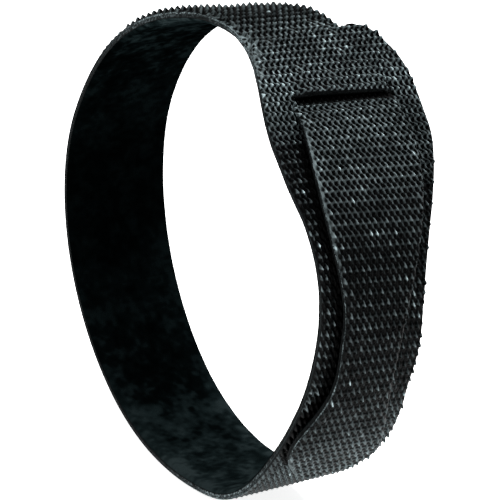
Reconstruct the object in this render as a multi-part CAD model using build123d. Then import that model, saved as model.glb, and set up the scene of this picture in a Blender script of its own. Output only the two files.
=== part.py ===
from build123d import *
import math
import os

# A back-to-back hook-and-loop wrist strap, closed into a loop round the wrist.
# One strip of laminated tape has a wide head with a cross slot at one end. The strip runs
# round the wrist, comes up under the head, goes out through the slot and lies back over the
# head and the band as a free tail. Hooks face outwards and the soft loop pile faces the skin.
# Frame: origin at the centre of the wrist opening, +Y along the wrist, +Z up, millimetres.
# Places along the strip are lengths s on its mid-line, 0 where it faces +X, positive upwards.

# Loop: a four-arc oval, measured to the mid-line of the inner turn of the strip
LONG_HALF = 35.4
SHORT_HALF = 28.9
END_RADIUS = 27.2
LOOP_TILT = 37.6  # degrees from +X up to the long axis

# Strip
BAND_WIDTH = 14.6
TURN_STEP = 2.0  # from one turn of the strip to the next, 0.2 mm of it free between them
LAYERS = {  # inner and outer face of each layer, from the mid-line outwards
    "loop_pile": (-0.70, -0.25),
    "loop_tape": (-0.25, 0.00),
    "bond_film": (0.00, 0.10),
    "hook_tape": (0.10, 0.50),
    "hooks": (0.50, 1.10),
}

# Die-cut outline of the head: place along the strip, front edge, back edge
HEAD_OUTLINE = [
    (33.8, -5.9, 7.6),
    (32.8, -6.9, 9.3),
    (30.0, -7.9, 10.2),
    (26.5, -8.7, 11.2),
    (23.0, -9.2, 11.6),
    (19.0, -9.2, 11.5),
    (15.0, -8.8, 10.7),
    (11.0, -7.9, 9.5),
    (7.0, -7.3, 8.3),
    (3.0, -7.2, 7.5),
    (1.0, -6.5, 6.5),
]
SLOT_PLACE = 24.4
SLOT_WIDTH = 1.0

# Outline of the tail, waisted in its middle, with a wider end and rounded corners
TAIL_OUTLINE = [
    (23.9, -5.5, 7.6),
    (14.5, -6.2, 7.7),
    (9.0, -5.9, 6.5),
    (4.5, -5.3, 5.1),
    (0.0, -4.8, 3.9),
    (-4.0, -5.0, 3.2),
    (-10.0, -5.8, 3.0),
    (-14.5, -7.0, 3.6),
    (-18.5, -7.6, 4.5),
    (-21.5, -7.6, 5.3),
    (-24.0, -6.9, 5.8),
    (-26.5, -5.5, 5.7),
    (-28.3, -4.3, 4.9),
    (-29.4, -3.3, 3.4),
    (-29.8, -2.4, 2.0),
]
TAIL_LINKS = 7
LINK_GAP = 0.1

REACH = 14.0  # half the width of the blanks that the outlines are cut from
DEPTH = 6.0  # how far an outline cuts on each side of the mid-line

# The oval's arcs: end arcs on the long axis and flatter side arcs between them
end_centre = LONG_HALF - END_RADIUS
side_radius = (end_centre**2 + SHORT_HALF**2 - END_RADIUS**2) / (2 * (SHORT_HALF - END_RADIUS))
side_centre = side_radius - SHORT_HALF
end_half_angle = math.degrees(math.atan2(side_centre, end_centre))
join_angle = LOOP_TILT - end_half_angle
join_place = END_RADIUS * math.radians(join_angle)


def on_axis(distance, direction):
    """A point in the loop's plane, at a distance from its centre and an angle from +X."""
    turn = math.radians(direction)
    return distance * math.cos(turn), distance * math.sin(turn)


# Each arc: first and last outward direction in degrees, centre, radius
ARCS = [
    (join_angle, join_angle + 2 * end_half_angle, on_axis(end_centre, LOOP_TILT), END_RADIUS),
    (LOOP_TILT + end_half_angle, join_angle + 180, on_axis(side_centre, LOOP_TILT - 90), side_radius),
    (join_angle + 180, LOOP_TILT + end_half_angle + 180, on_axis(end_centre, LOOP_TILT + 180), END_RADIUS),
    (LOOP_TILT + end_half_angle - 180, join_angle, on_axis(side_centre, LOOP_TILT + 90), side_radius),
]


def arc_point(arc, direction, offset):
    """The point of one arc that faces a direction, moved outwards by an offset, at y = 0."""
    (x, z), radius = arc[2], arc[3]
    dx, dz = on_axis(radius + offset, direction)
    return Vector(x + dx, 0, z + dz)


def arc_edge(arc, start, end, offset):
    return ThreePointArc(*(arc_point(arc, d, offset) for d in (start, (start + end) / 2, end)))


def direction_at(place):
    """The outward direction of the strip, in degrees, at a place along it."""
    if place >= join_place:
        return math.degrees(place / END_RADIUS)
    return join_angle + math.degrees((place - join_place) / side_radius)


def strip_point(place, offset):
    arc = ARCS[0] if place >= join_place else ARCS[3]
    return arc_point(arc, direction_at(place), offset)


def strip_path(start, end, offset):
    """Arcs along the strip from a higher place to a lower one."""
    top, bottom = direction_at(start), direction_at(end)
    edges = []
    if top > join_angle:
        edges.append(arc_edge(ARCS[0], top, max(bottom, join_angle), offset))
    if bottom < join_angle:
        edges.append(arc_edge(ARCS[3], min(top, join_angle), bottom, offset))
    return edges


def blank_from(face):
    """The section in the loop's plane, widened along the wrist to the whole blank."""
    return extrude(face.moved(Location((0, -REACH, 0))), amount=2 * REACH, dir=(0, 1, 0))


def ring_blank(inner, outer):
    wires = [Wire([arc_edge(arc, arc[0], arc[1], offset) for arc in ARCS]) for offset in (outer, inner)]
    return blank_from(Face(wires[0], [wires[1]]))


def sector_blank(start, end, inner, outer):
    outside = strip_path(start, end, outer)
    inside = strip_path(start, end, inner)
    ends = [Line(strip_point(p, inner), strip_point(p, outer)) for p in (start, end)]
    return blank_from(Face(Wire([*outside, *inside, *ends])))


def edges_at(outline, place):
    """Front and back edge of an outline at a place between its stations."""
    for upper, lower in zip(outline, outline[1:]):
        if upper[0] >= place >= lower[0]:
            share = (upper[0] - place) / (upper[0] - lower[0])
            return [u + share * (v - u) for u, v in zip(upper[1:], lower[1:])]
    raise ValueError(f"{place} is not on the outline")


def outline_cutter(outline, start, end, offset):
    """A prism with the outline's shape between two places, cut straight in towards the wrist."""
    inner_stations = [row for row in outline if start > row[0] > end]
    rows = [
        (start, *edges_at(outline, start)),
        *inner_stations,
        (end, *edges_at(outline, end)),
    ]
    middle = (start + end) / 2
    nx, nz = on_axis(1, direction_at(middle))
    plane = Plane(origin=strip_point(middle, offset), x_dir=(nz, 0, -nx), z_dir=(nx, 0, nz))
    along = [plane.x_dir.dot(strip_point(row[0], offset) - plane.origin) for row in rows]
    front = [(u, row[1]) for u, row in zip(along, rows)]
    back = [(u, row[2]) for u, row in zip(along, rows)]
    return extrude(plane * Polygon(*front, *reversed(back), align=None), amount=DEPTH, both=True)


def band_layer(inner, outer):
    """The inner turn: the band all round, widened to the head's outline below the slot."""
    band = Box(4 * LONG_HALF, BAND_WIDTH, 4 * LONG_HALF)
    wings = outline_cutter(HEAD_OUTLINE, SLOT_PLACE, HEAD_OUTLINE[-1][0], 0)
    return ring_blank(inner, outer) & (band + wings)


def outer_piece(outline, start, end, inner, outer):
    """A piece of one layer of the outer turn between two places along the strip."""
    level = TURN_STEP
    blank = sector_blank(start, end, level + inner, level + outer)
    margin = 0.5
    longer = (min(start + margin, outline[0][0]), max(end - margin, outline[-1][0]))
    return blank & outline_cutter(outline, *longer, level)


def write(name, solid):
    export_step(Compound(label=name, children=list(solid.solids())), f"parts/{name}.step")


os.makedirs("parts", exist_ok=True)

flap = (HEAD_OUTLINE[0][0], SLOT_PLACE + SLOT_WIDTH / 2)
tail_top, tail_tip = TAIL_OUTLINE[0][0], TAIL_OUTLINE[-1][0]
link_length = (tail_top - tail_tip) / TAIL_LINKS

for layer, (inner, outer) in LAYERS.items():
    write(f"band_{layer}", band_layer(inner, outer))
    write(f"head_flap_{layer}", outer_piece(HEAD_OUTLINE, *flap, inner, outer))
    for link in range(TAIL_LINKS):
        start = tail_top - link * link_length - (LINK_GAP if link else 0)
        end = tail_top - (link + 1) * link_length
        write(f"tail_{link + 1}_{layer}", outer_piece(TAIL_OUTLINE, start, end, inner, outer))

# Hinge lines of the flap and the tail links, on the outer face of the outer turn
hook_face = TURN_STEP + LAYERS["hooks"][1]
for link in range(TAIL_LINKS):
    hinge = strip_point(tail_top - link * link_length, hook_face)
    print(f"tail_{link + 1} hinge x {hinge.X:.3f} z {hinge.Z:.3f}")
hinge = strip_point(flap[1], hook_face)
print(f"head_flap hinge x {hinge.X:.3f} z {hinge.Z:.3f}")
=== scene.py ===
import math

import bpy
import numpy as np
from mathutils import Matrix, Vector


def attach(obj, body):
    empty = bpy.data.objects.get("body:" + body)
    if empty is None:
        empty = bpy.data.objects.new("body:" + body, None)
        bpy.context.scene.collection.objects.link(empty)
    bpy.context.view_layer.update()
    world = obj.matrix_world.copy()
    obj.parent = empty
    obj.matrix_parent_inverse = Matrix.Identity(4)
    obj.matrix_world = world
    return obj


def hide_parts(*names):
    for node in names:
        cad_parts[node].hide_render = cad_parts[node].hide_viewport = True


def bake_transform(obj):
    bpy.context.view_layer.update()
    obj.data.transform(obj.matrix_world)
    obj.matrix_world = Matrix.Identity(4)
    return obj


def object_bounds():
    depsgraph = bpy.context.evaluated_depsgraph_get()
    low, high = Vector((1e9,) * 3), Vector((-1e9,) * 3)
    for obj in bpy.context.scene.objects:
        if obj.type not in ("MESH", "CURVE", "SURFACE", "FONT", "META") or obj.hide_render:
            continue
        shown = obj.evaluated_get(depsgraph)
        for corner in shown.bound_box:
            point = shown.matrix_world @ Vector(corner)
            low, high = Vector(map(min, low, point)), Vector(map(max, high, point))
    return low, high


# A back-to-back hook-and-loop wrist strap. All of it is one strip, described by a place s along its
# mid-line (0 where it faces +X, positive upwards), a distance y along the wrist, and a height
# outwards from the mid-line. Lengths here are millimetres, and turned into metres in the meshes.

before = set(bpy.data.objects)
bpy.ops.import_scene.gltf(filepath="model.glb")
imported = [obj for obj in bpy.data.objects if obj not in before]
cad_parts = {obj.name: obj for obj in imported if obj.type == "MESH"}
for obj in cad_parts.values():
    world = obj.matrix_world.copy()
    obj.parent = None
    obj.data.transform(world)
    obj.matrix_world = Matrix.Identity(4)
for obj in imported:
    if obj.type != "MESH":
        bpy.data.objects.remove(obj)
cad_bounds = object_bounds()

MM = 0.001

# The loop: a four-arc oval, to the mid-line of the inner turn
LONG_HALF = 35.4
SHORT_HALF = 28.9
END_RADIUS = 27.2
LOOP_TILT = 37.6  # degrees from +X up to the long axis

# Heights of the strip's faces from its mid-line, and of the outer turn from the inner one
PILE_FACE = -0.70
PILE_BACK = -0.25
CORE_TOP = 0.20
HOOK_GROUND = 0.50
HOOK_TOP = 1.20
OUTER_LEVEL = 2.0

# The slot in the head, cut in line with the slanted rows of the weave
SLOT_SLANT = 0.15
SLOT_TOP = 24.9
SLOT_BOTTOM = 23.9
SLOT_MIDDLE = (SLOT_TOP + SLOT_BOTTOM) / 2
SLOT_FRONT = -4.9
SLOT_BACK = 7.7
LIP_ARCH = 0.28  # how far the slot's outer lip is lifted by the tail

# Where the strip is divided into segments
HEAD_START = -2.0
FLAP_SPLIT = 29.6
BAND_SEGMENTS = 4
UNDER_HEAD = 28.0  # the ring's end and the tail's root meet here, hidden under the head's end
TAIL_LINKS = 7
TAIL_TOP = 23.9
TAIL_TIP = -29.8

# Die-cut outlines: place, front edge, back edge
HEAD_OUTLINE = [
    (33.8, -5.9, 6.8),
    (33.6, -6.3, 8.2),
    (33.2, -6.6, 8.9),
    (32.4, -7.0, 9.4),
    (30.0, -7.9, 10.2),
    (26.5, -8.7, 11.2),
    (23.0, -9.2, 11.6),
    (19.0, -9.2, 11.5),
    (15.0, -8.8, 10.7),
    (11.0, -7.9, 9.5),
    (7.0, -7.3, 8.3),
    (3.0, -7.0, 7.5),
    (-2.0, -7.0, 7.1),
]
TAIL_OUTLINE = [
    (30.0, -6.2, 7.2),
    (26.0, -5.6, 7.5),
    (23.9, -5.5, 7.6),
    (14.5, -6.2, 7.7),
    (9.0, -5.9, 6.5),
    (4.5, -5.3, 5.1),
    (0.0, -4.8, 3.9),
    (-4.0, -5.0, 3.2),
    (-10.0, -5.2, 3.0),
    (-14.5, -6.4, 3.6),
    (-18.5, -7.6, 4.5),
    (-21.5, -7.6, 5.3),
    (-24.0, -6.9, 6.0),
    (-26.5, -5.5, 6.1),
    (-28.3, -4.3, 5.3),
    (-29.4, -3.3, 3.8),
    (-29.8, -2.4, 2.4),
]
BAND_OUTLINE = [
    (-2.0, -7.0, 7.1),
    (-8.0, -7.3, 7.3),
    (-14.0, -7.4, 7.4),
    (-19.0, -7.4, 8.1),
    (-25.0, -7.3, 8.8),
    (-32.0, -7.2, 8.6),
    (-50.0, -7.0, 7.0),
    (-70.0, -7.0, 7.2),
    (-85.0, -7.0, 7.5),
    (-105.0, -7.0, 7.5),
    (-120.0, -7.0, 7.1),
    (-140.0, -7.0, 7.0),
    (-150.0, -6.6, 7.0),
    (-159.0, -5.6, 7.2),
    (-166.0, -5.3, 7.5),
    (-169.0, -5.7, 7.5),
    (-172.0, -6.4, 7.4),
    (-176.7, -7.3, 7.2),
]

# Grid steps along and across the strip: of the hook face, of the tape's core and of the pile
FINE_STEPS = (0.095, 0.07)
COARSE_STEPS = (0.12, 0.09)
CORE_STEPS = (0.25, 3.0)
PILE_STEP = 0.24
UNDERSIDE_POINTS = 9

# ---------------------------------------------------------------- the strip's line

end_centre = LONG_HALF - END_RADIUS
side_radius = (end_centre**2 + SHORT_HALF**2 - END_RADIUS**2) / (2 * (SHORT_HALF - END_RADIUS))
side_centre = side_radius - SHORT_HALF
end_half_angle = math.degrees(math.atan2(side_centre, end_centre))
join_angle = LOOP_TILT - end_half_angle
join_place = END_RADIUS * math.radians(join_angle)

ARC_SWEEPS = np.array([2 * end_half_angle, 180 - 2 * end_half_angle] * 2)
ARC_RADII = np.array([END_RADIUS, side_radius] * 2)
ARC_LENGTHS = np.radians(ARC_SWEEPS) * ARC_RADII
ARC_STARTS = np.concatenate([[0], np.cumsum(ARC_LENGTHS)])
ARC_ANGLES = join_angle + np.concatenate([[0], np.cumsum(ARC_SWEEPS)])
LOOP_LENGTH = ARC_STARTS[-1]


def on_axis(distance, direction):
    """A point in the loop's plane, at a distance from its centre and an angle from +X."""
    turn = np.radians(direction)
    return np.array([distance * np.cos(turn), distance * np.sin(turn)])


ARC_CENTRES = np.array([
    on_axis(end_centre, LOOP_TILT),
    on_axis(side_centre, LOOP_TILT - 90),
    on_axis(end_centre, LOOP_TILT + 180),
    on_axis(side_centre, LOOP_TILT + 90),
])


def line_at(place):
    """Mid-line points (x, z) and outward directions (x, z) at places along the strip."""
    along = np.mod(np.asarray(place, float) - join_place, LOOP_LENGTH)
    arc = np.clip(np.searchsorted(ARC_STARTS, along, side="right") - 1, 0, 3)
    turn = np.radians(np.interp(along, ARC_STARTS, ARC_ANGLES))
    normal = np.stack([np.cos(turn), np.sin(turn)], -1)
    return ARC_CENTRES[arc] + ARC_RADII[arc][..., None] * normal, normal


def strip_points(place, y, height):
    """Points in metres for arrays of place, y and height above the mid-line."""
    centre, normal = line_at(place)
    flat = centre + normal * np.asarray(height)[..., None]
    return np.stack([flat[..., 0], np.broadcast_to(y, flat.shape[:-1]), flat[..., 1]], -1) * MM


def spline_through(outline, place, column):
    """A smooth curve through an outline's stations: a cubic between each two of them."""
    rows = sorted(outline)
    xs = np.array([row[0] for row in rows])
    ys = np.array([row[column] for row in rows])
    slopes = np.gradient(ys, xs)
    place = np.clip(place, xs[0], xs[-1])
    i = np.clip(np.searchsorted(xs, place, side="right") - 1, 0, len(xs) - 2)
    width = xs[i + 1] - xs[i]
    t = (place - xs[i]) / width
    return (
        (2 * t**3 - 3 * t**2 + 1) * ys[i] + (t**3 - 2 * t**2 + t) * width * slopes[i]
        + (3 * t**2 - 2 * t**3) * ys[i + 1] + (t**3 - t**2) * width * slopes[i + 1]
    )


def outline_edges(outline):
    """Front and back edge of a strip with this outline, as a function of the place."""
    return lambda s: (spline_through(outline, s, 1), spline_through(outline, s, 2))


def between(low_y, high_y, edges):
    """Edges of the part of a strip that lies between two values of y."""
    def cut(s):
        front, back = edges(s)
        return np.maximum(front, low_y), np.minimum(back, high_y)
    return cut


head_edges = outline_edges(HEAD_OUTLINE)
tail_edges = outline_edges(TAIL_OUTLINE)
band_edges = outline_edges(BAND_OUTLINE)

# ---------------------------------------------------------------- smooth shares and noise


def smoothstep(x, low, high):
    """From 0 at low to 1 at high, with level ends."""
    t = np.clip((np.asarray(x, float) - low) / (high - low), 0, 1)
    return t * t * (3 - 2 * t)


def hump(distance, width):
    """1 in the middle, falling smoothly to nothing about two widths away."""
    return np.exp(-((distance / width) ** 2))


def from_place(place, middle):
    """Signed distance along the closed loop from a middle place."""
    return np.mod(np.asarray(place, float) - middle + LOOP_LENGTH / 2, LOOP_LENGTH) - LOOP_LENGTH / 2


def around(place, middle, width, width_below=None):
    """A hump along the closed loop, with another width below its middle place where one is given."""
    along = from_place(place, middle)
    if width_below is not None:
        width = np.where(along < 0, width_below, width)
    return hump(along, width)


def scatter(i, k, seed):
    """A repeatable number from 0 to 1 for each pair of whole numbers."""
    value = np.sin(i * 127.1 + k * 311.7 + seed * 74.7) * 43758.5453
    return value - np.floor(value)


def noise(x, y, seed):
    """Repeatable smooth noise from 0 to 1 on a plane."""
    xi, yi = np.floor(x), np.floor(y)
    fx, fy = smoothstep(x - xi, 0, 1), smoothstep(y - yi, 0, 1)

    def corner(dx, dy):
        return scatter(xi + dx, yi + dy, seed)

    low = corner(0, 0) * (1 - fx) + corner(1, 0) * fx
    high = corner(0, 1) * (1 - fx) + corner(1, 1) * fx
    return low * (1 - fy) + high * fy


# ---------------------------------------------------------------- levels of the strip

# The soft ring leaves its oval: its top is twisted inwards at the back, and its foot sags
TWIST_DEPTH = 1.5
TWIST_PLACE = 52.0
SAG_DEPTH = 1.9
SAG_PLACE = -42.5


def sway(place, y):
    """How far outwards the soft ring lies from its oval."""
    to_back = smoothstep(y, -7.0, 7.0)
    twist = TWIST_DEPTH * to_back * around(place, TWIST_PLACE, 15.0, 12.0)
    return SAG_DEPTH * around(place, SAG_PLACE, 12.5 + 3.5 * to_back, 11.0) - twist


def in_slot(y):
    """1 between the slot's ends, falling to 0 over the slopes at both of them."""
    return smoothstep(y, SLOT_FRONT, SLOT_FRONT + 1.8) * (1 - smoothstep(y, SLOT_BACK - 1.4, SLOT_BACK))


def head_level(place, y):
    """The head: inner turn below the slot, outer turn beyond it, its lip arched over the tail."""
    bar = OUTER_LEVEL * smoothstep(place, 20.0, 29.0)
    lip = OUTER_LEVEL + LIP_ARCH * (1 - smoothstep(place, SLOT_TOP, 31.0))
    middle = np.where(place + SLOT_SLANT * y > SLOT_MIDDLE, lip, 0.0)
    return bar + (middle - bar) * in_slot(y) + sway(place, y)


def tail_level(place, y):
    """The tail: up from under the head, through the slot, over the band and pressed down at its tip."""
    rise = OUTER_LEVEL * (1 - smoothstep(place, 21.2, 27.4))
    pressed = 0.32 * (1 - smoothstep(place, -29.0, -20.0))
    return rise - pressed + sway(place, y)


def slanted(place, y):
    """Places moved along the strip near the slot, by its slant."""
    return place - SLOT_SLANT * y * hump(place - SLOT_BOTTOM, 5.5)


# ---------------------------------------------------------------- the weave of the hook face

ROW_TILT = 0.12  # how far the rows lean along the strip for each mm across it
HOOK_ROW = 0.34  # where the hooks and their legs stand in each row
LEG_ROW = 0.95


def tail_row_pitch(place):
    """Distance between rows: the tape is stretched a little more towards the tail's tip."""
    return np.clip(1.36 - 0.0125 * place, 0.98, 1.7)


def band_row_pitch(place):
    """Distance between rows: more towards the band's foot and over the bend at the top."""
    over_top = 0.22 * hump(place + 149.0, 16.0)
    return np.clip(1.43 - 0.0135 * (place + 2.0), 1.08, 1.43) + over_top


def tail_column_pitch(place):
    """Distance between columns, which grows with the rows towards the tail's tip."""
    return np.clip(0.84 - 0.0035 * place, 0.735, 0.93)


def band_column_pitch(place):
    """Distance between columns, nearly the same all along the band."""
    return np.clip(0.787 - 0.002 * (place + 2.0), 0.73, 0.787)


# Row numbers along the strip, counted from below its lowest place
ROW_STEP = 0.25
ROW_PLACES = np.arange(-185.0, 60.0, ROW_STEP)
TAIL_ROWS = np.cumsum(ROW_STEP / tail_row_pitch(ROW_PLACES))
BAND_ROWS = np.cumsum(ROW_STEP / band_row_pitch(ROW_PLACES))


def lattice(place, y, on_tail):
    """Row number u and column number v of the weave, with the parts of a row and a column between."""
    rows = TAIL_ROWS if on_tail else BAND_ROWS
    columns = tail_column_pitch(place) if on_tail else band_column_pitch(place)
    return np.interp(place + ROW_TILT * y, ROW_PLACES, rows), y / columns


def stroke(u, v, centre, length, width, seed):
    """A field of leaning ridges from 0 to 1, one in each cell of the weave, and each point's cell."""
    row = np.round(u - centre)
    column = np.round(v)
    lean = 0.32 + 0.12 * (scatter(row, column, seed) - 0.5)
    drift = 0.08 * (scatter(row, column, seed + 1) - 0.5)
    du = u - centre - row + drift
    dv = v - column + lean * du + 0.08 * (scatter(row, column, seed + 2) - 0.5)
    along = np.clip(1 - np.abs(du) / length, 0, 1) ** 0.55
    across = np.clip(1 - np.abs(dv) / width, 0, 1)
    return along * across, (row, column)


def pit(u, v, row_share, column_share):
    """The pits of the weave, one in each cell, from 0 to 1: dips in the hooks' height, darkened with painted
    shade in the tone.
    """
    a = u - row_share - np.round(u - row_share)
    b = v - column_share - np.round(v - column_share) + 0.3 * a
    return 1 - smoothstep(np.hypot(a / 0.27, b / 0.36), 0.6, 1.15)


# Where the hook face gets painted shade, with painted highlights and glints on its hooks: along the tail's
# middle, which faces away from the key light, and along the front of the band beside the tail
TAIL_SHADED_PLACES = [-24.0, -12.0, 6.0, 16.0]
BAND_SHADED_PLACES = [-14.0, -8.0, 20.0, 22.0]
SHADED_SHARES = [0.0, 1.0, 1.0, 0.15]
BACK_SHIFT = 8.0  # how much further down the painted shade and glints reach on the back of the band

# Painted light and shade along the hook face: lightest on the head beyond the slot, which faces up towards
# the key light, and darker at the foot
LIT_PLACES = [-60, -46, -36, -30, 22, 27, 35, 42]
LIT_SHARES = [0.58, 0.58, 0.76, 0.92, 1.0, 1.25, 1.1, 0.66]


def shade_and_glint_share(place, y, on_tail):
    """How much painted shade, highlight and glint the hook face gets here, from 0 to 1."""
    if on_tail:
        return np.interp(place, TAIL_SHADED_PLACES, SHADED_SHARES)
    return np.interp(place + BACK_SHIFT * smoothstep(y, -3.0, 3.0), BAND_SHADED_PLACES, SHADED_SHARES)


def crown_ribs(place):
    """Where the bend over the top parts the rows of hooks, with painted shade in the gaps between them."""
    along = from_place(place, 0.0)
    return smoothstep(along, 37.0, 44.0) * (1 - smoothstep(along, 75.0, 95.0))


def lit(place, u):
    """Painted light and shade of the hook face by its place, and painted shade in the gaps between its rows
    over the top.
    """
    off_row = np.abs(u - HOOK_ROW - np.round(u - HOOK_ROW))
    share = np.interp(from_place(place, 0.0), LIT_PLACES, LIT_SHARES)
    return share * (1 - 0.85 * crown_ribs(place) * smoothstep(off_row, 0.20, 0.40))


def standing(place, on_tail):
    """How tall the hooks stand: they are worn flat round the hidden and lower part of the band."""
    if on_tail:
        return 1 - 0.25 * (1 - smoothstep(place, -28.0, -20.0))
    return 1.15 - 0.95 * smoothstep(np.abs(from_place(place, 24.0)), 52.0, 66.0)


def hook_field(place, y, on_tail):
    """Height above the woven ground, from 0 to 1, and the tone, from 0 to 1: the nylon's own tone with
    painted shade in the pits and painted sheen, highlights and glints on the hooks.
    """
    u, v = lattice(place, y, on_tail)
    hook, cell = stroke(u, v, HOOK_ROW, 0.42, 0.27, 1)
    leg, leg_cell = stroke(u, v + 0.5, LEG_ROW, 0.40, 0.24, 11)
    pits = np.maximum(pit(u, v, 0.0, 0.0), pit(u, v, 0.60, 0.5))

    leg_height, ground_height = (0.42, 0.22) if on_tail else (0.24, 0.12)
    tall = 0.78 + 0.30 * scatter(*cell, 21)
    tall = np.where(scatter(*cell, 22) < 0.03, 0.4, tall)
    height = np.maximum(np.maximum(tall * hook, leg_height * leg), ground_height * (1 - pits))

    shade_and_glints = shade_and_glint_share(place, y, on_tail)
    patch = noise(place * 0.35, y * 0.3, 8)
    # Painted shade darkens the woven ground in these stretches, and painted highlights lighten the hooks'
    # tops there
    ground_tone = 0.41 - 0.32 * shade_and_glints
    light = ground_tone + (0.38 + 0.18 * shade_and_glints) * hook**0.8 * (0.35 + 0.9 * scatter(*cell, 23))
    light = np.maximum(light, ground_tone + 0.30 * leg * scatter(*leg_cell, 24))
    # Painted glints: a few hook tops painted nearly white, more of them in the shaded stretches
    rare = scatter(*cell, 25) > 0.99 - 0.08 * shade_and_glints * smoothstep(patch, 0.5, 0.8)
    glint = 0.8 * rare * smoothstep(hook, 0.4, 0.8)
    fibre = noise(v * 9.0, u * 2.2, 7)
    # (1 - pits) paints shade into the pits of the weave
    tone = lit(place, u) * light * (1 - pits) * (0.8 + 0.4 * patch) * (0.55 + 0.8 * fibre) + glint
    return height * standing(place, on_tail), np.clip(tone, 0, 1)


# ---------------------------------------------------------------- shade, rims and loose threads

RIM_TONE = 0.5
RIM_WIDTH = 0.35
THREAD_TONE = 0.72
EDGE_ROUNDING = 0.22  # how far in from a cut edge the hooks reach their full height


def slot_shade(place, y):
    """How dark the hooks are on the slopes that go down into the ends of the slot."""
    inside = in_slot(y)
    near = 0.8 * hump(place + SLOT_SLANT * y - 24.2, 0.9)
    return near * smoothstep(4 * inside * (1 - inside), 0.05, 0.5)


def tail_shade(place, y):
    """How dark the band's hooks are in the gap along the front edge of the tail."""
    gap = tail_edges(place)[0] - y
    beside = smoothstep(place, TAIL_TIP, TAIL_TIP + 3.0) * (1 - smoothstep(place, 19.0, 21.0))
    return 0.9 * beside * smoothstep(gap, -2.0, -1.5) * (1 - smoothstep(gap, 0.3, 1.0))


def shaded(tone, place, y, on_tail):
    """The hooks' tone, darker where the tail comes out of the slot, round the slot and beside the tail."""
    if on_tail:
        return tone * (1 - 0.95 * smoothstep(place + SLOT_SLANT * y, 23.3, 24.6))
    return tone * (1 - slot_shade(place, y)) * (1 - tail_shade(place, y))


def rim_light(place, on_tail):
    """Where the cut edge is melted into a smooth light rim: the tail's end and the band's foot."""
    if on_tail:
        return 1 - smoothstep(place, -26.0, -19.0)
    return around(place, -44.0, 13.0)


def tail_threads(place, y, front):
    """Light threads along the front edge of the tail's upper half."""
    upper = smoothstep(place, 0.0, 12.0) * (1 - smoothstep(place, 20.0, 23.0))
    return upper * (0.35 + 0.5 * noise(place * 2.6, y, 67)) * hump(y - front, 0.26)


def neck_threads(place, y, front):
    """Light broken threads along the front edge of the neck, beside the head's end."""
    grain = smoothstep(noise(place * 3.2, y * 3.2, 63), 0.50, 0.68)
    return grain * around(place, 36.0, 9.0) * hump(y - front, 1.1)


def hook_top(on_tail):
    """The height and tone of the hook face, on the tail or on the head and the band."""
    def top(s, y):
        front, back = y[:, :1], y[:, -1:]
        inset = np.minimum(y - front, back - y)
        height, tone = hook_field(s, y, on_tail)
        height = height * smoothstep(inset, 0.0, EDGE_ROUNDING)
        rim = rim_light(s, on_tail) * hump(inset, RIM_WIDTH)
        threads = tail_threads(s, y, front) if on_tail else neck_threads(s, y, front)
        tone = shaded(tone, s, y, on_tail) * (1 - rim) + RIM_TONE * rim
        tone = tone * (1 - threads) + THREAD_TONE * threads
        return HOOK_GROUND + (HOOK_TOP - HOOK_GROUND) * height, tone
    return top


def core_top(s, y):
    """The plain upper face of the tape's core, hidden under the hook face."""
    return np.full(s.shape, CORE_TOP), np.full(s.shape, 0.5)


# ---------------------------------------------------------------- the pile and the cut edges

CLOUDS = ((0.16, 0.22), (0.5, 0.28), (1.2, 0.28), (2.1, 0.22))  # patches for each mm, and their share
PILE_ROUNDING = 0.40
PILE_RELIEF = 0.10
PILE_FOOT = -50.0


def pile_tone(place, y):
    """How light the pile is: brushed patches, with painted light at the foot, where the pile faces up
    towards the key light, and lighter under the top than on the far side.
    """
    clouds = 0.0
    for scale, share in CLOUDS:
        clouds = clouds + share * noise(place * scale, y * scale, 40 + share)
    # Painted light: the pile at the foot faces up towards the key light
    foot = around(place, PILE_FOOT, 16.0, 23.0)
    edges = around(place, PILE_FOOT, 32.0) * smoothstep(np.abs(y), 3.5, 7.0)
    crown = around(place, 62.0, 20.0)
    near = around(place, 51.0, 12.0) * hump(y + 6.5, 3.5)
    mottle = smoothstep(clouds, 0.28, 0.78)
    mottle = mottle + 0.5 * foot * (0.55 - mottle)
    return mottle * (0.20 + 0.95 * foot + 0.35 * crown + 0.7 * near) + 0.4 * near + 0.3 * edges


def pile_field(place, y):
    """Height of the brushed loops, from 0 to 1."""
    fine = noise(place * 3.1, y * 3.3, 11)
    broad = noise(place * 0.55, y * 0.6, 12)
    return 0.6 * fine + 0.4 * broad


def core_brightness(place):
    """How light the cut edge of the tape's core is: rubbed at the foot and frayed under the head's end."""
    foot = 0.85 * around(place, -41.0, 16.0)
    neck = 0.9 * around(place, 36.0, 9.0)
    crown = 0.5 * around(place, 60.0, 16.0)
    return 0.12 + np.maximum(np.maximum(foot, crown), neck)


def tail_brightness(place):
    """How light the cut edge of the tail's hook tape is, bead by bead."""
    return 0.55 + 0.5 * smoothstep(noise(place * 2.2, 0 * place, 61), 0.25, 0.7)


def edge_brightness(place):
    """How light the frayed threads of the cut edge of the head and the band are."""
    foot = 0.8 * around(place, -46.0, 15.0)
    crown = 0.85 * around(place, 56.0, 16.0)
    neck = 1.1 * around(place, 38.0, 9.0)
    return 0.16 + np.maximum(np.maximum(foot, crown), neck)


# ---------------------------------------------------------------- meshes

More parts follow.
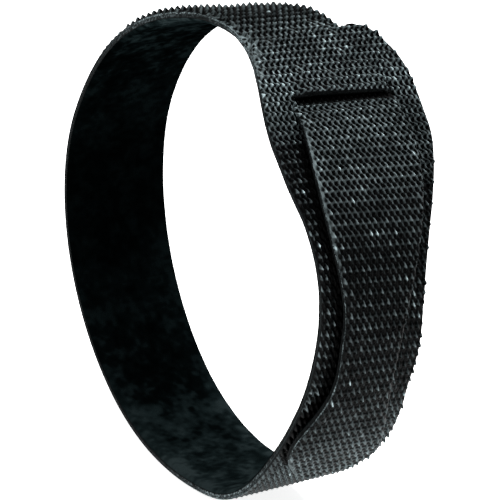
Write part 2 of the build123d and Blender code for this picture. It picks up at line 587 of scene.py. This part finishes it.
def mesh_object(name, points, quads, caps, kinds, tones, materials):
    """An object from quads and end caps. The caps take the last material."""
    mesh = bpy.data.meshes.new(name)
    loops = np.concatenate([quads.ravel(), *caps]).astype(np.int32)
    sizes = np.concatenate([np.full(len(quads), 4), [len(cap) for cap in caps]]).astype(np.int32)
    starts = np.concatenate([[0], np.cumsum(sizes)[:-1]]).astype(np.int32)
    kinds = np.concatenate([kinds, np.full(len(caps), len(materials) - 1)]).astype(np.int32)
    mesh.vertices.add(len(points))
    mesh.vertices.foreach_set("co", points.astype(np.float32).ravel())
    mesh.loops.add(len(loops))
    mesh.loops.foreach_set("vertex_index", loops)
    mesh.polygons.add(len(sizes))
    mesh.polygons.foreach_set("loop_start", starts)
    mesh.polygons.foreach_set("loop_total", sizes)
    for material in materials:
        mesh.materials.append(material)
    mesh.polygons.foreach_set("material_index", kinds)
    mesh.polygons.foreach_set("use_smooth", np.ones(len(sizes), bool))
    attribute = mesh.attributes.new("tone", "FLOAT", "POINT")
    attribute.data.foreach_set("value", tones.astype(np.float32))
    mesh.update(calc_edges=True)
    mesh.validate()
    obj = bpy.data.objects.new(name, mesh)
    bpy.context.scene.collection.objects.link(obj)
    return obj


def closed_mesh(points, tones, kinds, flipped):
    """Loops of points round the section, one at each place, joined by quads and closed by two caps."""
    count, size = points.shape[:2]
    grid = np.arange(count * size).reshape(count, size)
    ahead = np.roll(grid, -1, axis=1)
    quads = np.stack([grid[:-1], ahead[:-1], ahead[1:], grid[1:]], -1).reshape(-1, 4)
    caps = [grid[0][::-1], grid[-1]]
    if flipped:
        quads = quads[:, ::-1]
        caps = [cap[::-1] for cap in caps]
    return points.reshape(-1, 3), quads, caps, kinds.ravel(), tones.ravel()


def joined(parts):
    """Several closed meshes as one."""
    bases = np.cumsum([0] + [len(part[0]) for part in parts])
    points, quads, caps, kinds, tones = zip(*parts)
    return (
        np.concatenate(points),
        np.concatenate([q + base for q, base in zip(quads, bases)]),
        [cap + base for two_caps, base in zip(caps, bases) for cap in two_caps],
        np.concatenate(kinds),
        np.concatenate(tones),
    )


def places_between(start, end, step):
    """Places from start to end, about a step apart."""
    return np.linspace(start, end, max(int(round(abs(end - start) / step)), 2) + 1)


def shares_of(width, step):
    """Shares of a width from 0 to 1, about a step apart at its widest."""
    return np.linspace(0, 1, max(int(round(np.max(width) / step)), 4) + 1)


def across_strip(places, front, back, shares):
    """Place and y of the points at some shares of the way from the front edge to the back one."""
    y = front[:, None] + shares[None] * (back - front)[:, None]
    return slanted(places[:, None], y), y


def cut_edge(places, edge_y, out, level, top, foot, finish, seed):
    """Rows of points down a cut edge, and how light they are.

    out is 1 at the back edge and -1 at the front one. finish gives the number of rows, how far they
    are pushed in and out, and how light the edge is along the strip.
    """
    row_count, rough, brightness = finish
    rows = np.linspace(0, 1, row_count + 2)[1:-1]
    along = np.repeat(places[:, None], row_count, 1)
    push = rough * (noise(along * 4.3, rows[None] * 9 + seed, seed) - 0.35)
    y = edge_y[:, None] + out * push
    height = top[:, None] + (foot - top[:, None]) * rows[None]
    s = slanted(along, y)
    threads = noise(along * 2.5, rows[None] * 6 + seed, seed)
    speck = noise(along * 13.0, rows[None] * 11 + seed, seed + 1)
    tone = brightness(along) * (0.12 + 0.4 * threads + 0.8 * smoothstep(speck, 0.3, 0.85))
    return strip_points(s, y, level(s, y) + height), tone


def layer_mesh(start, end, edges, level, steps, low, top, finish):
    """One layer of the strip from one place to another.

    edges gives front and back y, level the height of the mid-line, low the layer's lower face,
    top its upper face and tone, and finish its cut edges, as cut_edge says.
    """
    places = places_between(start, end, steps[0])
    front, back = edges(places)
    shares = shares_of(back - front, steps[1])
    s, y = across_strip(places, front, back, shares)
    height, tone = top(s, y)
    upper = strip_points(s, y, level(s, y) + height)
    s, y = across_strip(places, front, back, np.linspace(1, 0, UNDERSIDE_POINTS))
    under = strip_points(s, y, level(s, y) + low)
    back_wall, back_tone = cut_edge(places, back, 1, level, height[:, -1], low, finish, 3)
    front_wall, front_tone = cut_edge(places, front, -1, level, height[:, 0], low, finish, 5)
    points = np.concatenate([upper, back_wall, under, front_wall[:, ::-1]], 1)
    tones = np.concatenate([tone, back_tone, 0 * s, front_tone[:, ::-1]], 1)
    kinds = np.ones((len(places) - 1, points.shape[1]), int)
    kinds[:, : len(shares) - 1] = 0
    return closed_mesh(points, tones, kinds, start < end)


def pile_mesh(start, end, edges, level):
    """The pile, as a layer whose brushed face looks inwards."""
    places = places_between(start, end, PILE_STEP)
    front, back = edges(places)
    shares = shares_of(back - front, PILE_STEP)
    s, y = across_strip(places, front, back, shares)
    inset = np.minimum(shares, 1 - shares) * (back - front)[:, None]
    rounding = PILE_ROUNDING * (1 - np.clip(inset / 0.7, 0, 1)) ** 2
    height = level(s, y) + PILE_FACE + rounding - PILE_RELIEF * (pile_field(s, y) - 0.5)
    plain_s, plain_y = s[:, ::-1], y[:, ::-1]
    plain = strip_points(plain_s, plain_y, level(plain_s, plain_y) + PILE_BACK)
    points = np.concatenate([strip_points(s, y, height), plain], 1)
    tones = np.concatenate([pile_tone(s, y), 0.2 + 0 * y], 1)
    kinds = np.zeros((len(places) - 1, points.shape[1]), int)
    return closed_mesh(points, tones, kinds, start > end)


# ---------------------------------------------------------------- materials

NYLON = np.array([0.80, 1.0, 1.04])


def nylon(lightness):
    """The tape's black-grey nylon, a little blue-green, at one lightness."""
    return tuple(float(c) for c in lightness * NYLON)


def node_material(name):
    """A new material, its node tree and its shader."""
    material = bpy.data.materials.new(name)
    material.use_nodes = True
    return material, material.node_tree, material.node_tree.nodes["Principled BSDF"]


def ramp(tree, stops):
    """A colour ramp with a colour at each of the stops."""
    node = tree.nodes.new("ShaderNodeValToRGB")
    while len(node.color_ramp.elements) < len(stops):
        node.color_ramp.elements.new(0.5)
    for element, (position, colour) in zip(node.color_ramp.elements, stops):
        element.position = position
        element.color = (*colour, 1)
    return node


def noise_node(tree, scale, detail):
    """Noise over the object's own coordinates, in patches for each metre."""
    coordinates = tree.nodes.new("ShaderNodeTexCoord")
    node = tree.nodes.new("ShaderNodeTexNoise")
    node.inputs["Scale"].default_value = scale
    node.inputs["Detail"].default_value = detail
    tree.links.new(coordinates.outputs["Object"], node.inputs["Vector"])
    return node


def bump_from(tree, source, strength, distance, shader):
    """Bump on the shader, from a source of height and a distance in metres."""
    bump = tree.nodes.new("ShaderNodeBump")
    bump.inputs["Strength"].default_value = strength
    bump.inputs["Distance"].default_value = distance
    tree.links.new(source, bump.inputs["Height"])
    tree.links.new(bump.outputs["Normal"], shader.inputs["Normal"])


def tone_colours(tree, shader, stops):
    """Base colour from the mesh's own tone values."""
    tone = tree.nodes.new("ShaderNodeAttribute")
    tone.attribute_name = "tone"
    colours = ramp(tree, stops)
    tree.links.new(tone.outputs["Fac"], colours.inputs["Fac"])
    tree.links.new(colours.outputs["Color"], shader.inputs["Base Color"])


def hook_material():
    """Nylon hooks and their woven ground: the tone ramp runs from the painted shade of the pits, black, to
    painted highlights and glints on the hooks.
    """
    material, tree, shader = node_material("hooks")
    tone_colours(tree, shader, [
        (0.0, nylon(0.0003)),
        (0.12, nylon(0.003)),
        (0.38, nylon(0.055)),
        (0.72, nylon(0.18)),
        (1.0, nylon(0.55)),
    ])
    fine = noise_node(tree, 5200, 2)
    bump_from(tree, fine.outputs["Fac"], 0.3, 0.00005, shader)
    shader.inputs["Roughness"].default_value = 0.45
    shader.inputs["Specular IOR Level"].default_value = 0.03
    return material


def edge_material():
    """The cut edges, with threads that are rubbed light."""
    material, tree, shader = node_material("cut_edge")
    tone_colours(tree, shader, [
        (0.0, nylon(0.0015)),
        (0.35, nylon(0.012)),
        (0.7, nylon(0.10)),
        (1.0, nylon(0.26)),
    ])
    fine = noise_node(tree, 4000, 2)
    bump_from(tree, fine.outputs["Fac"], 0.6, 0.0001, shader)
    shader.inputs["Roughness"].default_value = 0.7
    shader.inputs["Specular IOR Level"].default_value = 0.02
    return material


def core_material():
    """The dark woven core of the tape."""
    material, tree, shader = node_material("tape_core")
    weave = noise_node(tree, 3000, 2)
    colours = ramp(tree, [(0.35, nylon(0.0015)), (0.7, nylon(0.008))])
    tree.links.new(weave.outputs["Fac"], colours.inputs["Fac"])
    tree.links.new(colours.outputs["Color"], shader.inputs["Base Color"])
    bump_from(tree, weave.outputs["Fac"], 0.5, 0.0001, shader)
    shader.inputs["Roughness"].default_value = 0.9
    shader.inputs["Specular IOR Level"].default_value = 0.05
    return material


def pile_material():
    """The soft brushed loops, with no gloss."""
    material, tree, shader = node_material("loop_pile")
    tone_colours(tree, shader, [
        (0.0, (0.0002, 0.0004, 0.0004)),
        (0.2, (0.0008, 0.0015, 0.0016)),
        (0.6, (0.0050, 0.0085, 0.0090)),
        (1.0, (0.0150, 0.0220, 0.0230)),
    ])
    fine = noise_node(tree, 2200, 3)
    bump_from(tree, fine.outputs["Fac"], 0.8, 0.00025, shader)
    shader.inputs["Roughness"].default_value = 0.95
    shader.inputs["Specular IOR Level"].default_value = 0.0
    return material


HOOKS, EDGE, CORE, PILE = hook_material(), edge_material(), core_material(), pile_material()

# ---------------------------------------------------------------- pieces


def make_piece(name, parts, materials):
    """One piece from its closed meshes."""
    piece = mesh_object(name, *joined(parts), materials)
    return piece


def build(segment, stretches, level, on_tail, steps, cad):
    """Hook face, core and pile of one segment, each as one piece that stands for its CAD nodes."""
    edge_light = tail_brightness if on_tail else edge_brightness
    sides = CORE if on_tail else EDGE
    hook_face = (steps, CORE_TOP, hook_top(on_tail), (3, 0.09, edge_light))
    tape_core = (CORE_STEPS, PILE_BACK, core_top, (2, 0.08, core_brightness))
    hook_parts = [layer_mesh(*stretch, level, *hook_face) for stretch in stretches]
    core_parts = [layer_mesh(*stretch, level, *tape_core) for stretch in stretches]
    pile_parts = [pile_mesh(*stretch, level) for stretch in stretches]
    made = [
        # The hook face's end caps take the dark core material, which paints shade on the end wall of the
        # slot's lip
        make_piece(f"{segment}_hook_face", hook_parts, [HOOKS, EDGE, CORE]),
        make_piece(f"{segment}_tape_core", core_parts, [CORE, sides, CORE]),
        make_piece(f"{segment}_loop_pile", pile_parts, [PILE, PILE]),
    ]
    for node in cad:
        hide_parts(f"{node}_hooks", f"{node}_hook_tape")
        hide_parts(f"{node}_bond_film", f"{node}_loop_tape")
        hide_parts(f"{node}_loop_pile")
    return made


# The ring: the head below the slot, then the band all round to the stretch under the head's end
ring_places = np.linspace(HEAD_START, UNDER_HEAD - LOOP_LENGTH, BAND_SEGMENTS + 1)
lower_head = [(SLOT_BOTTOM, HEAD_START, head_edges)]
for piece in build("head", lower_head, head_level, False, FINE_STEPS, ["band"]):
    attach(piece, "band")
for number, (start, end) in enumerate(zip(ring_places, ring_places[1:]), 1):
    for piece in build(f"band_{number}", [(start, end, band_edges)], sway, False, COARSE_STEPS, []):
        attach(piece, "band")

# The head's end beyond the slot, with the two bars beside the slot
bars = [
    (FLAP_SPLIT, SLOT_TOP, head_edges),
    (SLOT_TOP, SLOT_BOTTOM, between(-20, SLOT_FRONT, head_edges)),
    (SLOT_TOP, SLOT_BOTTOM, between(SLOT_BACK, 20, head_edges)),
]
for piece in build("head_bars", bars, head_level, False, FINE_STEPS, []):
    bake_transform(piece)
flap = [(HEAD_OUTLINE[0][0], FLAP_SPLIT, head_edges)]
for piece in build("head_flap", flap, head_level, False, FINE_STEPS, ["head_flap"]):
    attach(piece, "head_flap")

# The tail, from under the head through the slot to its tip, split at the middle of each link
link_length = (TAIL_TOP - TAIL_TIP) / TAIL_LINKS
link_middles = [TAIL_TOP - (link + 0.5) * link_length for link in range(TAIL_LINKS)]

root = [(UNDER_HEAD, link_middles[0], tail_edges)]
for piece in build("tail_1", root, tail_level, True, FINE_STEPS, ["tail_1"]):
    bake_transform(piece)
for link in range(1, TAIL_LINKS):
    upper, lower = link_middles[link - 1], link_middles[link]
    names = f"tail_{link}", f"tail_{link + 1}"
    for piece in build(names[1], [(upper, lower, tail_edges)], tail_level, True, FINE_STEPS, [names[1]]):
        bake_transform(piece)
tip = [(link_middles[-1], TAIL_TIP, tail_edges)]
for piece in build("tail_tip", tip, tail_level, True, FINE_STEPS, []):
    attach(piece, f"tail_{TAIL_LINKS}")

# ---------------------------------------------------------------- stage

VIEW_AZIMUTH = math.radians(60.9)
VIEW_ELEVATION = math.radians(23.4)
VIEW_DISTANCE = 480.7 * MM
VIEW_RIGHT = 2.03 * MM
VIEW_UP = -1.03 * MM
LENS = 273.5
SENSOR = 36.0
FLOOR_SIZE = 4.0  # half a side, in metres
FLOOR_GAP = 0.6 * MM

back = Vector((
    math.sin(VIEW_AZIMUTH) * math.cos(VIEW_ELEVATION),
    -math.cos(VIEW_AZIMUTH) * math.cos(VIEW_ELEVATION),
    math.sin(VIEW_ELEVATION),
))
right = Vector((math.cos(VIEW_AZIMUTH), math.sin(VIEW_AZIMUTH), 0))
up = back.cross(right)


def make_camera():
    """The camera, with its axes turned to right, up and back."""
    data = bpy.data.cameras.new("camera")
    data.lens = LENS
    data.sensor_width = SENSOR
    data.clip_start = 0.01
    camera = bpy.data.objects.new("camera", data)
    place = Matrix.Translation(back * VIEW_DISTANCE + right * VIEW_RIGHT + up * VIEW_UP)
    camera.matrix_world = place @ Matrix((right, up, back)).transposed().to_4x4()
    bpy.context.scene.collection.objects.link(camera)
    bpy.context.scene.camera = camera


def area_light(name, direction, distance, size, power):
    """A soft light in some direction from the strap, turned towards it."""
    data = bpy.data.lights.new(name, "AREA")
    data.energy = power
    data.size = size
    light = bpy.data.objects.new(name, data)
    light.location = direction.normalized() * distance
    light.rotation_euler = direction.to_track_quat("Z", "Y").to_euler()
    bpy.context.scene.collection.objects.link(light)


def make_floor():
    """A pale floor just below the strap, which gives a little light of its own."""
    height = cad_bounds[0][2] - FLOOR_GAP
    corners = ((-1, -1), (1, -1), (1, 1), (-1, 1))
    mesh = bpy.data.meshes.new("floor")
    mesh.from_pydata([(x * FLOOR_SIZE, y * FLOOR_SIZE, height) for x, y in corners], [], [(0, 1, 2, 3)])
    floor = bpy.data.objects.new("floor", mesh)
    material, _, shader = node_material("floor")
    shader.inputs["Base Color"].default_value = (0.93, 0.93, 0.93, 1)
    shader.inputs["Roughness"].default_value = 0.9
    shader.inputs["Emission Color"].default_value = (1, 1, 1, 1)
    shader.inputs["Emission Strength"].default_value = 0.85
    mesh.materials.append(material)
    bpy.context.scene.collection.objects.link(floor)


def make_world():
    """A white backdrop that lights the strap more softly than it looks."""
    world = bpy.data.worlds.new("studio")
    world.use_nodes = True
    tree = world.node_tree
    backdrop = tree.nodes["Background"]
    backdrop.inputs["Color"].default_value = (1, 1, 1, 1)
    backdrop.inputs["Strength"].default_value = 1.0
    soft_light = tree.nodes.new("ShaderNodeBackground")
    soft_light.inputs["Color"].default_value = (0.95, 0.98, 1, 1)
    soft_light.inputs["Strength"].default_value = 0.3
    ray = tree.nodes.new("ShaderNodeLightPath")
    choice = tree.nodes.new("ShaderNodeMixShader")
    tree.links.new(ray.outputs["Is Camera Ray"], choice.inputs["Fac"])
    tree.links.new(soft_light.outputs["Background"], choice.inputs[1])
    tree.links.new(backdrop.outputs["Background"], choice.inputs[2])
    tree.links.new(choice.outputs["Shader"], tree.nodes["World Output"].inputs["Surface"])
    bpy.context.scene.world = world


make_camera()
area_light("key", right * 0.30 + up * 1.0 + back * 0.40, 0.6, 0.45, 7.0)
area_light("edge", right * -0.6 + up * 0.35 + back * 0.7, 0.7, 0.25, 1.2)
make_floor()
make_world()
bpy.context.scene.view_settings.view_transform = "Standard"
